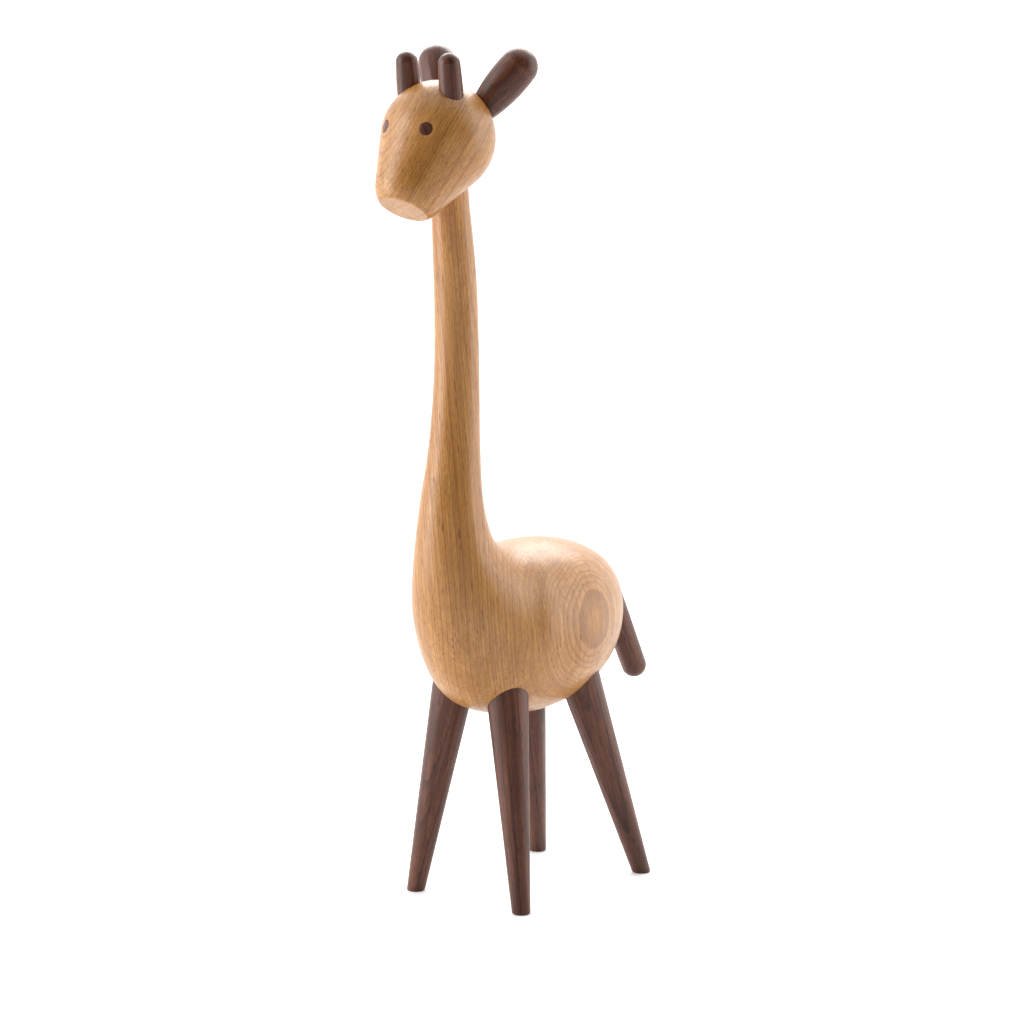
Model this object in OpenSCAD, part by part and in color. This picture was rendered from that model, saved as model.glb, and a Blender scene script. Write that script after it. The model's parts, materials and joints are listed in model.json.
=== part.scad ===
// Standing wooden giraffe: an oak body carved in one with its long neck, a turned oak
// head that turns on the neck's round end, and legs, tail, ears, horns and eye plugs of
// walnut. It faces -Y and stands on four feet cut level with the ground. Millimetres.

/* [Body] */
// Width of the body at its girth, side to side
body_w = 72; // [62:1:87]
// Height of the body, belly to back
body_h = 82; // [70:1:98]
// Height of the belly above the ground
belly_z = 84.5; // [70:0.5:105]
// Reach of the chest in front of the girth
chest_l = 66.5; // [58:0.5:80]
// Reach of the rump behind the girth
rump_l = 72.5; // [62:0.5:87]

/* [Neck] */
// Height of the neck, from its foot to the collar under the head
neck_l = 134.5; // [110:0.5:165]
// Rise of the neck's foot above the back
neck_foot_rise = 22; // [18:1:28]
// Diameter of the neck's foot
neck_foot_d = 30; // [26:0.5:36]
// Diameter of the neck at the collar
neck_top_d = 17.6; // [14.6:0.2:20]
// Lean of the neck's top towards the face, degrees
neck_lean = 6.3; // [2:0.1:9]
// Length of the round end that the head turns on, above the collar
spigot_l = 30; // [24:1:36]

/* [Head] */
// Diameter of the round crown
crown_d = 51.6; // [44:0.2:62]
// Diameter of the round muzzle
muzzle_d = 33; // [27:0.5:39]
// Distance between the middles of the crown and the muzzle
face_l = 27; // [23:0.5:33]
// Lean of the head's long axis from upright, degrees
head_tilt = 41.8; // [36:0.1:48]
// Distance from the middle of the crown to the nose flat
nose_l = 38.5; // [34:0.5:46]
// Tilt of the nose flat off square, degrees
nose_tilt = 10; // [4:0.5:16]

/* [Ears] */
// Diameter of an ear where it leaves the head
ear_root_d = 13.2; // [11:0.1:15.9]
// How much wider an ear is at its widest than where it leaves the head
ear_swell = 4.4; // [3.6:0.1:5.4]
// Length of an ear from its seat to its tip
ear_l = 31.8; // [26.5:0.1:38.2]

/* [Horns] */
// Diameter of a horn where it leaves the head
horn_root_d = 10.6; // [8.8:0.1:12.8]
// Diameter of a horn below its domed end
horn_tip_d = 9.9; // [8.2:0.1:12]
// Height of a horn's end above the crown
horn_l = 12.6; // [10:0.1:18]
// Distance between the middles of the two horns
horn_gap = 24.6; // [20:0.2:30]

/* [Eyes] */
// Diameter of an eye plug
eye_d = 6; // [4.8:0.1:7.5]
// Turn of an eye away from the middle of the face, degrees
eye_turn = 29.7; // [24:0.1:36]
// Distance from the middle of the crown down the face to the eyes
eye_drop = 10.5; // [8:0.1:13]

/* [Legs] */
// Diameter of a leg at the ground
foot_d = 8.5; // [7:0.1:10.5]
// Diameter of a leg at its end inside the body
leg_top_d = 20.8; // [17:0.1:25]
// Height of a leg's end above the belly
leg_depth = 26; // [21:0.5:32]
// Distance between the middles of a left and a right foot
foot_span_x = 63.8; // [53:0.2:77]
// Distance between the middles of a front and a rear foot
foot_span_y = 92.4; // [77:0.2:111]
// Distance between the middles of a left and a right leg's end
leg_span_x = 29; // [27:0.2:34]
// Distance of the front legs' ends in front of the girth
front_leg_y = 28.5; // [24:0.5:33]
// Distance of the rear legs' ends behind the girth
rear_leg_y = 21; // [18:0.5:25]

/* [Tail] */
// Diameter of the tail where it leaves the rump
tail_root_d = 12.6; // [10.4:0.1:15.2]
// Diameter of the tail's round end
tail_end_d = 12; // [10:0.1:14.6]
// Length of the tail, from the middle of its round root to the middle of its round end
tail_l = 43.5; // [36:0.5:52.5]
// Lean of the tail from upright, degrees
tail_lean = 28.1; // [24:0.1:34]

/* [Fits] */
// Radial clearance of the head's bore on the neck's round end
turn_gap = 0.05; // [0.02:0.01:0.09]
// Radial clearance of the glued seats
glue_gap = 0.05; // [0.02:0.01:0.1]

/* [Hidden] */

LEFT = 1;
RIGHT = -1;
OAK = [0.80, 0.63, 0.43];
WALNUT = [0.33, 0.21, 0.17];
$fn = 96;
arc_step = 3;
far = 300;

// Body: the girth is the upright section between the shoulders and the rump
girth_y = -7.5;
back_z = belly_z + body_h;
chest_y = girth_y - chest_l;
girth_mid_z = belly_z + body_h / 2;
rump_end_y = girth_y + rump_l;

// Neck: its foot stands behind the chest, and its collar carries the head
neck_foot_y = chest_y + 16.5;
neck_foot_z = back_z + neck_foot_rise;
collar = [0, neck_foot_y + 0.3, neck_foot_z + neck_l];
collar_dip = 4;
end_shoulder = 0.1;
spigot_r = neck_top_d / 2 - end_shoulder;
end_space = 0.3;

// Head: its crown's middle is up and forward of the collar
crown_r = crown_d / 2;
muzzle_r = muzzle_d / 2;
taper = asin((crown_r - muzzle_r) / face_l);
crown_forward = 8.7;
crown_up = crown_r + 7.7;
crown = collar + [0, -crown_forward, crown_up];
muzzle = crown - face_l * [0, sin(head_tilt), cos(head_tilt)];

// Seats of the ears and horns
ear_seat_turn = 33;
ear_seat_rise = 31.5;
ear_turn = 51.5;
ear_rise = 49.5;
ear_depth = 9;
horn_forward = 6;
horn_depth = 10;
eye_depth = 5;

// Legs: from the middle of a foot to the middle of the end inside the body
leg_end_z = belly_z + leg_depth;
under_floor = 4;
front_foot_y = -foot_span_y / 2;
rear_foot_y = foot_span_y / 2;
front_end_y = girth_y - front_leg_y;
rear_end_y = girth_y + rear_leg_y;

// Tail: its round root sits half in the rump's end, on a thinner spigot
tail_seat = [0, rump_end_y - 4, girth_mid_z + 4.4];
tail_spigot_d = 6;
tail_depth = 12;
tail_way = [0, sin(tail_lean), -cos(tail_lean)];
tail_end = tail_seat + tail_l * tail_way;

// The origin is on the ground under the middle of the whole figure
front_reach = min(muzzle[1] - muzzle_r, crown[1] - crown_r, chest_y);
rear_reach = max(tail_end[1] + tail_end_d / 2, rear_foot_y + foot_d, rump_end_y);
mid_y = (front_reach + rear_reach) / 2;

// Sections of the neck, from the collar down: share of the way down to its foot, how far
// the middle lies behind the foot's middle, share of the foot's extra thickness, and lean
neck_sections = [
    [0.00, 0.3, 0.00, neck_lean],
    [0.16, 2.4, 0.12, 5],
    [0.32, 3.8, 0.18, 2],
    [0.56, 4.1, 0.26, 0],
    [0.80, 2.3, 0.50, 0],
    [1.00, 0.0, 1.00, 11.5]];

// Sections that swing round the nape, as shares of the way from the neck's foot to the
// girth: along and down the back, along and down the chest, and out to the sides
shoulder_sections = [
    [0.12, 0.60, 0.00, 0.32, 0.20],
    [0.30, 0.86, 0.07, 0.58, 0.45],
    [0.53, 0.97, 0.28, 0.84, 0.71],
    [0.76, 1.00, 0.54, 0.95, 0.93]];

rump_narrowing = 0.36;
ring_points = 56;
rings_between = 5;
rump_rings = 16;

function blend(a, b, share) = a + (b - a) * share;

// A section is [back y, back z, front y, front z, half width]
function neck_section(row) =
    let (r = blend(neck_top_d, neck_foot_d, row[2]) / 2,
         y = neck_foot_y + row[1],
         z = neck_foot_z + neck_l * (1 - row[0]),
         dy = r * cos(row[3]),
         dz = r * sin(row[3]))
    [y + dy, z + dz, y - dy, z - dz, r];

neck_foot = neck_section(neck_sections[len(neck_sections) - 1]);
girth = [girth_y, back_z, girth_y, belly_z, body_w / 2];

function shoulder_section(row) = [
    blend(neck_foot[0], girth[0], row[0]),
    blend(neck_foot[1], girth[1], row[1]),
    blend(chest_y, girth[2], row[2]),
    blend(neck_foot[3], girth[3], row[3]),
    blend(neck_foot[4], girth[4], row[4])];

// The rump closes like half an egg, narrower from above than from the side
function rump_section(turn) =
    let (y = girth_y + rump_l * sin(turn),
         h = body_h / 2 * cos(turn),
         w = body_w / 2 * cos(turn) * (1 - rump_narrowing * pow(sin(turn), 2)))
    [y, girth_mid_z + h, y, girth_mid_z - h, w];

rump_turn = 90 / rump_rings;
guides = concat(
    [for (row = neck_sections) neck_section(row)],
    [for (row = shoulder_sections) shoulder_section(row)],
    [girth]);

// A smooth curve through the guides a, b, c, d, at share t of the way from b to c
function smooth(a, b, c, d, t) =
    (2 * b + (c - a) * t + (2 * a - 5 * b + 4 * c - d) * t * t
    + (3 * b - a - 3 * c + d) * t * t * t) / 2;

function guide(i) =
    i < 0 ? 2 * guides[0] - guides[1]
    : i < len(guides) ? guides[i]
    : rump_section(rump_turn);

sections = concat(
    [for (i = [0:len(guides) - 2], k = [0:rings_between - 1])
        smooth(guide(i - 1), guide(i), guide(i + 1), guide(i + 2), k / rings_between)],
    [girth],
    [for (k = [1:rump_rings - 1]) rump_section(k * rump_turn)]);

// The ring of points of a section, an ellipse in a plane that holds the X direction
function ring(s) = [for (k = [0:ring_points - 1])
    let (turn = k * 360 / ring_points, c = cos(turn))
    [s[4] * sin(turn),
     (s[0] + s[2]) / 2 + (s[0] - s[2]) / 2 * c,
     (s[1] + s[3]) / 2 + (s[1] - s[3]) / 2 * c]];

function profile_arc(mid, r, from, to) =
    let (steps = ceil(abs(to - from) / arc_step))
    [for (k = [0:steps]) let (a = blend(from, to, k / steps))
        [r * cos(a), mid + r * sin(a)]];

// Moves a piece from the frame of the feet to the frame of the whole figure
module figure() {
    translate([0, -mid_y, 0]) children();
}

// The carved outside of the body and neck, closed at the collar and at the rump's end
module carved_blank() {
    n = ring_points;
    last = len(sections) - 1;
    points = concat([for (s = sections) each ring(s)],
                    [[0, rump_end_y, girth_mid_z]]);
    tip = len(points) - 1;
    top_cap = [[for (k = [0:n - 1]) k]];
    walls = [for (i = [0:last - 1], k = [0:n - 1])
        let (a = i * n + k, b = i * n + (k + 1) % n)
        each [[a, a + n, b], [b, a + n, b + n]]];
    end_fan = [for (k = [0:n - 1]) [last * n + k, tip, last * n + (k + 1) % n]];
    polyhedron(points = points, faces = concat(top_cap, walls, end_fan));
}

// A round bar from the collar up along the neck's lean, and below it by dip
module neck_end(r, length, dip) {
    translate(collar) rotate([neck_lean, 0, 0])
        translate([0, 0, -dip]) cylinder(h = length + dip, r = r);
}

// A tapered leg, from under the floor to its end inside the body
module leg_cone(foot, end, gap) {
    way = end - foot;
    length = norm(way);
    slope = (leg_top_d - foot_d) / 2 / length;
    translate(foot)
        rotate([0, acos(way[2] / length), atan2(way[1], way[0])])
        rotate([0, 0, 90])
        translate([0, 0, -under_floor])
        cylinder(h = length + under_floor,
                 r1 = foot_d / 2 - slope * under_floor + gap,
                 r2 = leg_top_d / 2 + gap);
}

module front_leg_cone(side, gap) {
    leg_cone([side * foot_span_x / 2, front_foot_y, 0],
             [side * leg_span_x / 2, front_end_y, leg_end_z], gap);
}

module rear_leg_cone(side, gap) {
    leg_cone([side * foot_span_x / 2, rear_foot_y, 0],
             [side * leg_span_x / 2, rear_end_y, leg_end_z], gap);
}

module above_ground() {
    translate([-far / 2, -far / 2, 0]) cube(far);
}

// Places children with +Z along the tail and the origin at its seat
module at_tail() {
    translate(tail_seat) rotate([180 + tail_lean, 0, 0]) children();
}

// The outline of the tail's spigot and round root, up to its full width
function tail_root_outline(gap) =
    let (r = tail_root_d / 2 + gap, spigot_r = tail_spigot_d / 2 + gap)
    concat([[0, -tail_depth], [spigot_r, -tail_depth]],
           profile_arc(0, r, -acos(spigot_r / r), 0));

module body() {
    color(OAK) figure() difference() {
        union() {
            carved_blank();
            neck_end(spigot_r, spigot_l, collar_dip);
        }
        for (side = [LEFT, RIGHT]) {
            front_leg_cone(side, glue_gap);
            rear_leg_cone(side, glue_gap);
        }
        at_tail() rotate_extrude()
            polygon(concat(tail_root_outline(glue_gap),
                           [[tail_root_d / 2 + glue_gap, far / 4], [0, far / 4]]));
    }
}

// Places children in the head's frame: the crown's middle, with -Z down the face
module at_head() {
    translate(crown) rotate([-head_tilt, 0, 0]) children();
}

// The turned outside of the head, cut flat at the nose
module head_blank() {
    at_head() difference() {
        rotate_extrude()
            polygon(concat(profile_arc(0, crown_r, 90, -taper),
                           profile_arc(-face_l, muzzle_r, -taper, -90)));
        rotate([nose_tilt, 0, 0])
            translate([-far / 2, -far / 2, -nose_l - far]) cube(far);
    }
}

// An ear is a barrel arc from its inner end, and a round tip that carries on from it
ear_r = (ear_root_d + ear_swell) / 2;
ear_wide_z = 0.57 * ear_l;
ear_barrel_r = (pow(ear_wide_z, 2) + pow(ear_swell / 2, 2)) / ear_swell;
ear_barrel_back = ear_barrel_r - ear_r;
ear_short = ear_barrel_r - (ear_l - ear_wide_z);
ear_tip_up = (pow(ear_barrel_back, 2) - pow(ear_short, 2)) / (2 * ear_short);
ear_tip_z = ear_wide_z + ear_tip_up;

// The outline of an ear's inner end and barrel, up to a turn above its widest place
function ear_barrel_outline(gap, turn) =
    let (r = ear_barrel_r + gap, low = asin((-ear_depth - ear_wide_z) / r))
    concat([[0, -ear_depth]],
           [for (p = profile_arc(ear_wide_z, r, low, turn)) p - [ear_barrel_back, 0]]);

// Places children with +Z along an ear and the origin at its seat on the crown
module at_ear(side) {
    seat = crown_r * [side * sin(ear_seat_turn) * cos(ear_seat_rise),
                      cos(ear_seat_turn) * cos(ear_seat_rise),
                      sin(ear_seat_rise)];
    translate(crown + seat)
        rotate([0, 90 - ear_rise, 90 - side * ear_turn]) children();
}

// Places children with +Z along a horn and the origin at the height of the crown's top
module at_horn(side) {
    translate(crown + [side * horn_gap / 2, -horn_forward, crown_r])
        rotate([neck_lean, 0, 0]) children();
}

horn_seat = crown_r - sqrt(pow(crown_r, 2) - pow(horn_gap / 2, 2));

// A plug that stands square to the face at an eye's place
module eye_plug(side, r) {
    face_r = crown_r * cos(taper) - (eye_drop - crown_r * sin(taper)) * tan(taper);
    at_head() rotate([0, 0, side * eye_turn])
        translate([0, -face_r, -eye_drop]) rotate([90 + taper, 0, 0])
        translate([0, 0, -eye_depth]) cylinder(h = 2 * eye_depth, r = r);
}

module head() {
    color(OAK) figure() difference() {
        head_blank();
        neck_end(spigot_r + turn_gap, spigot_l + end_space, far / 4);
        for (side = [LEFT, RIGHT]) {
            at_ear(side) rotate_extrude()
                polygon(concat(ear_barrel_outline(glue_gap, 0),
                               [[ear_r + glue_gap, far / 4], [0, far / 4]]));
            at_horn(side) translate([0, 0, -horn_seat - horn_depth])
                cylinder(h = horn_depth + far / 4, r = horn_root_d / 2 + glue_gap);
            eye_plug(side, eye_d / 2 + glue_gap);
        }
    }
}

module ear(side) {
    turn = atan2(ear_tip_up, ear_barrel_back);
    color(WALNUT) figure() at_ear(side) rotate_extrude()
        polygon(concat(ear_barrel_outline(0, turn),
                       profile_arc(ear_tip_z, ear_l - ear_tip_z, turn, 90)));
}

module horn(side) {
    inner_z = -horn_seat - horn_depth;
    color(WALNUT) figure() at_horn(side) rotate_extrude()
        polygon(concat([[0, inner_z], [horn_root_d / 2, inner_z], [horn_root_d / 2, 0]],
                       profile_arc(horn_l - horn_tip_d / 2, horn_tip_d / 2, 0, 90)));
}

module eye(side) {
    color(WALNUT) figure() intersection() {
        head_blank();
        eye_plug(side, eye_d / 2);
    }
}

module front_leg(side) {
    color(WALNUT) figure() intersection() {
        front_leg_cone(side, 0);
        above_ground();
    }
}

module rear_leg(side) {
    color(WALNUT) figure() intersection() {
        rear_leg_cone(side, 0);
        above_ground();
    }
}

module tail() {
    color(WALNUT) figure() at_tail() rotate_extrude()
        polygon(concat(tail_root_outline(0), [[tail_root_d / 2, tail_l / 3]],
                       profile_arc(tail_l, tail_end_d / 2, 0, 90)));
}

body();
head();
ear(LEFT);  // left_ear
ear(RIGHT);  // right_ear
horn(LEFT);  // left_horn
horn(RIGHT);  // right_horn
eye(LEFT);  // left_eye
eye(RIGHT);  // right_eye
front_leg(LEFT);  // front_left_leg
front_leg(RIGHT);  // front_right_leg
rear_leg(LEFT);  // rear_left_leg
rear_leg(RIGHT);  // rear_right_leg
tail();
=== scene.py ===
"""Looks of a wooden giraffe figure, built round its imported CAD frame.

The body and long neck are carved in one from pale oak. A turned oak head turns on the neck's
round end, and the legs, tail, ears, horns and eye plugs are oiled walnut. Lengths are in
metres in the frame's own axes: the figure faces -Y and stands on Z = 0.
"""

import json
import logging
import math
from collections.abc import Sequence
from dataclasses import dataclass, field
from enum import Enum

import bmesh
import bpy
from mathutils import Euler, Matrix, Vector


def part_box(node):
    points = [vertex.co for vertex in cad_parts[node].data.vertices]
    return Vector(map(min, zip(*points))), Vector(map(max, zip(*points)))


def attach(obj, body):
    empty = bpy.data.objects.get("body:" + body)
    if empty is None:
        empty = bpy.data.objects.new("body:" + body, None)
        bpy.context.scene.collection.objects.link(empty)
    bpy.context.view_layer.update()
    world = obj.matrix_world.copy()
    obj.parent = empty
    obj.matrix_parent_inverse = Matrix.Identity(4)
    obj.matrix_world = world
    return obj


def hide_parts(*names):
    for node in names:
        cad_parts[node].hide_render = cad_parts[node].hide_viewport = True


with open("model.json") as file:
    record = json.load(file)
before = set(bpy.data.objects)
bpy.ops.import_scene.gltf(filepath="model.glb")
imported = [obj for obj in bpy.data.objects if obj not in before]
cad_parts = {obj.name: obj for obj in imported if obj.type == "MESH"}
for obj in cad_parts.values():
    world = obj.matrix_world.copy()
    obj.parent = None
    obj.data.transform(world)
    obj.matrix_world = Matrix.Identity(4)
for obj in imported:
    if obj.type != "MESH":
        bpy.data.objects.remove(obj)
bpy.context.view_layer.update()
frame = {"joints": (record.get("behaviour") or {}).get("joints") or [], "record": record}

log = logging.getLogger("giraffe")

MM = 0.001
SHARP_ANGLE = math.radians(38)
SEAT_GAP = 0.06 * MM
FIGURE = "figure"
HEAD_GROUP = "head_group"

Colour = tuple[float, float, float, float]
Outline = list[tuple[float, float]]


class Side(Enum):
    """A side of the giraffe. Its left is +X."""

    LEFT = 1
    RIGHT = -1

    @property
    def word(self) -> str:
        """The side's word in a piece's name."""
        return self.name.lower()


class Rank(Enum):
    """The front or the rear pair of legs."""

    FRONT = "front"
    REAR = "rear"


# Places read from the frame


def joint_named(name: str) -> dict:
    """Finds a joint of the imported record.

    Args:
        name: The joint's name.

    Returns:
        The joint's entry.
    """
    return next(joint for joint in frame["joints"] if joint["name"] == name)


def mount_place(name: str) -> Vector:
    """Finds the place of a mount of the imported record.

    Args:
        name: The mount's name.

    Returns:
        The mount's place in the frame.
    """
    mounts = frame["record"]["mounts"]
    return Vector(next(mount["pos_m"] for mount in mounts if mount["name"] == name))


# Mesh work


def spaced(points: Sequence[tuple[float, float]], step: float) -> Outline:
    """Adds points to an outline, so that no stretch of it is longer than a step.

    Args:
        points: The outline as (radius, height) pairs.
        step: The longest stretch that may stay.

    Returns:
        The outline with all its own points and those added.
    """
    full = [points[0]]
    for (r0, z0), (r1, z1) in zip(points, points[1:]):
        pieces = max(1, math.ceil(math.hypot(r1 - r0, z1 - z0) / step))
        for k in range(1, pieces + 1):
            share = k / pieces
            full.append((r0 + (r1 - r0) * share, z0 + (z1 - z0) * share))
    return full


def arc(middle: float, radius: float, start: float, end: float, steps: int) -> Outline:
    """Makes an arc of an outline round a point of the axis.

    Args:
        middle: The height of the arc's middle on the axis.
        radius: The arc's radius.
        start: The angle above the middle where it starts, in radians.
        end: The angle where it ends.
        steps: How many stretches it has.

    Returns:
        The arc's points as (radius, height) pairs.
    """
    turns = [start + (end - start) * k / steps for k in range(steps + 1)]
    return [(radius * math.cos(t), middle + radius * math.sin(t)) for t in turns]


def ring_of(radius: float, height: float, count: int) -> list[Vector]:
    """Makes a level ring of points round the Z axis.

    Args:
        radius: The ring's radius.
        height: Its height.
        count: How many points it has.

    Returns:
        The ring's points.
    """
    turns = [2 * math.pi * k / count for k in range(count)]
    return [Vector((radius * math.cos(t), radius * math.sin(t), height)) for t in turns]


def closed_skin(
    name: str, rings: Sequence[Sequence[Vector]], first: Vector, last: Vector, place: Matrix
) -> bpy.types.Object:
    """Joins rings of points into one closed smooth mesh, with a point at each end.

    Args:
        name: The object's name.
        rings: The rings, all with the same number of points.
        first: The point that closes the first ring.
        last: The point that closes the last ring.
        place: Where the mesh's own frame stands.

    Returns:
        The new object.
    """
    bm = bmesh.new()
    grid = [[bm.verts.new(point) for point in ring] for ring in rings]
    count = len(grid[0])
    for upper, lower in zip(grid, grid[1:]):
        for k in range(count):
            n = (k + 1) % count
            bm.faces.new((upper[k], lower[k], lower[n], upper[n]))
    start = bm.verts.new(first)
    end = bm.verts.new(last)
    for k in range(count):
        n = (k + 1) % count
        bm.faces.new((start, grid[0][k], grid[0][n]))
        bm.faces.new((end, grid[-1][n], grid[-1][k]))
    bmesh.ops.recalc_face_normals(bm, faces=bm.faces)
    mesh = bpy.data.meshes.new(name)
    bm.to_mesh(mesh)
    bm.free()
    mesh.shade_smooth()
    mesh.set_sharp_from_angle(angle=SHARP_ANGLE)
    piece = bpy.data.objects.new(name, mesh)
    piece.matrix_world = place
    bpy.context.scene.collection.objects.link(piece)
    return piece


def turned(name: str, outline: Outline, place: Matrix, count: int = 96) -> bpy.types.Object:
    """Turns an outline about its axis, as on a lathe.

    Args:
        name: The object's name.
        outline: The outline from end to end, both ends on the axis.
        place: Where the turned piece's own frame stands.
        count: How many points go round.

    Returns:
        The new object.
    """
    rings = [ring_of(r, z, count) for r, z in outline[1:-1]]
    first = Vector((0, 0, outline[0][1]))
    last = Vector((0, 0, outline[-1][1]))
    return closed_skin(name, rings, first, last, place)


@dataclass
class FlatCut:
    """A flat sawn across the lower end of a turned piece, with its edge softened.

    Attributes:
        point: A point of the flat.
        normal: The direction that the flat faces.
        edge: How far the softened edge reaches to each side.
        rings: How many rings the turned part keeps.
        edge_rings: How many rings the softened edge has.
        flat_rings: How many rings the flat has.
    """

    point: Vector
    normal: Vector
    edge: float
    rings: int = 90
    edge_rings: int = 6
    flat_rings: int = 8

    def middle(self) -> Vector:
        """The point where the turning axis meets the flat."""
        return Vector((0, 0, self.point.dot(self.normal) / self.normal.z))

    def meridian(self, outline: Outline, way: Vector) -> list[Vector]:
        """Follows the outline down one side to the flat, and then the flat to its middle.

        Args:
            outline: The outline from its upper end down.
            way: The level direction of this side.

        Returns:
            The points of this side, all but the flat's middle.
        """
        line = [way * r + Vector((0, 0, z)) for r, z in outline]
        depths = [(point - self.point).dot(self.normal) for point in line]
        last = next(k for k, depth in enumerate(depths) if depth > 0)
        share = depths[last - 1] / (depths[last - 1] - depths[last])
        corner = line[last - 1].lerp(line[last], share)
        kept = line[:last] + [corner]
        lengths = [0.0]
        for a, b in zip(kept, kept[1:]):
            lengths.append(lengths[-1] + (b - a).length)
        reach = lengths[-1] - self.edge
        points = []
        k = 0
        for ring in range(self.rings):
            goal = reach * ring / (self.rings - 1)
            while lengths[k + 1] < goal:
                k += 1
            step = (goal - lengths[k]) / (lengths[k + 1] - lengths[k])
            points.append(kept[k].lerp(kept[k + 1], step))
        start = points[-1]
        end = corner + (self.middle() - corner).normalized() * self.edge
        for ring in range(1, self.edge_rings + 1):
            t = ring / self.edge_rings
            points.append(start.lerp(corner, t).lerp(corner.lerp(end, t), t))
        for ring in range(1, self.flat_rings):
            points.append(end.lerp(self.middle(), ring / self.flat_rings))
        return points

    def turned(
        self, name: str, outline: Outline, top: float, place: Matrix, count: int
    ) -> bpy.types.Object:
        """Turns an outline and saws its lower end flat.

        Args:
            name: The object's name.
            outline: The outline from its upper end down past the flat.
            top: The height of the point that closes the upper end.
            place: Where the piece's own frame stands.
            count: How many points go round.

        Returns:
            The new object.
        """
        sides = [self.meridian(outline, way) for way in ring_of(1, 0, count)]
        rings = [list(ring) for ring in zip(*sides)]
        return closed_skin(name, rings, Vector((0, 0, top)), self.middle(), place)


def cut_seats(piece: bpy.types.Object, cutters: Sequence[bpy.types.Object]) -> None:
    """Cuts solids out of a piece, and takes the solids away.

    Args:
        piece: The piece that is cut.
        cutters: The solids, which don't touch each other.
    """
    held = bpy.data.collections.new(f"{piece.name}_seats")
    bpy.context.scene.collection.children.link(held)
    for cutter in cutters:
        held.objects.link(cutter)
        bpy.context.scene.collection.objects.unlink(cutter)
    seats = piece.modifiers.new("seats", "BOOLEAN")
    seats.operation = "DIFFERENCE"
    seats.operand_type = "COLLECTION"
    seats.solver = "EXACT"
    seats.collection = held
    bpy.context.view_layer.update()
    shown = piece.evaluated_get(bpy.context.evaluated_depsgraph_get())
    cut = bpy.data.meshes.new_from_object(shown)
    piece.modifiers.clear()
    piece.data = cut
    cut.set_sharp_from_angle(angle=SHARP_ANGLE)
    for cutter in cutters:
        bpy.data.objects.remove(cutter)
    bpy.data.collections.remove(held)


def fitted(piece: bpy.types.Object, body: str, node: str) -> bpy.types.Object:
    """Sets a finished piece in the place of its CAD node.

    Args:
        piece: The finished piece.
        body: The CAD body that it moves with.
        node: The CAD node that it stands for.

    Returns:
        The same piece.
    """
    piece.data.transform(piece.matrix_world)
    piece.matrix_world = Matrix.Identity(4)
    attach(piece, body)
    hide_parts(node)
    places = [vertex.co for vertex in piece.data.vertices]
    low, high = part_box(node)
    off = max(
        max(abs(min(p[axis] for p in places) - low[axis]) for axis in range(3)),
        max(abs(max(p[axis] for p in places) - high[axis]) for axis in range(3)),
    )
    log.info("%s: %d faces, box %.2f mm off", piece.name, len(piece.data.polygons), off / MM)
    return piece


# Shader nodes


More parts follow.
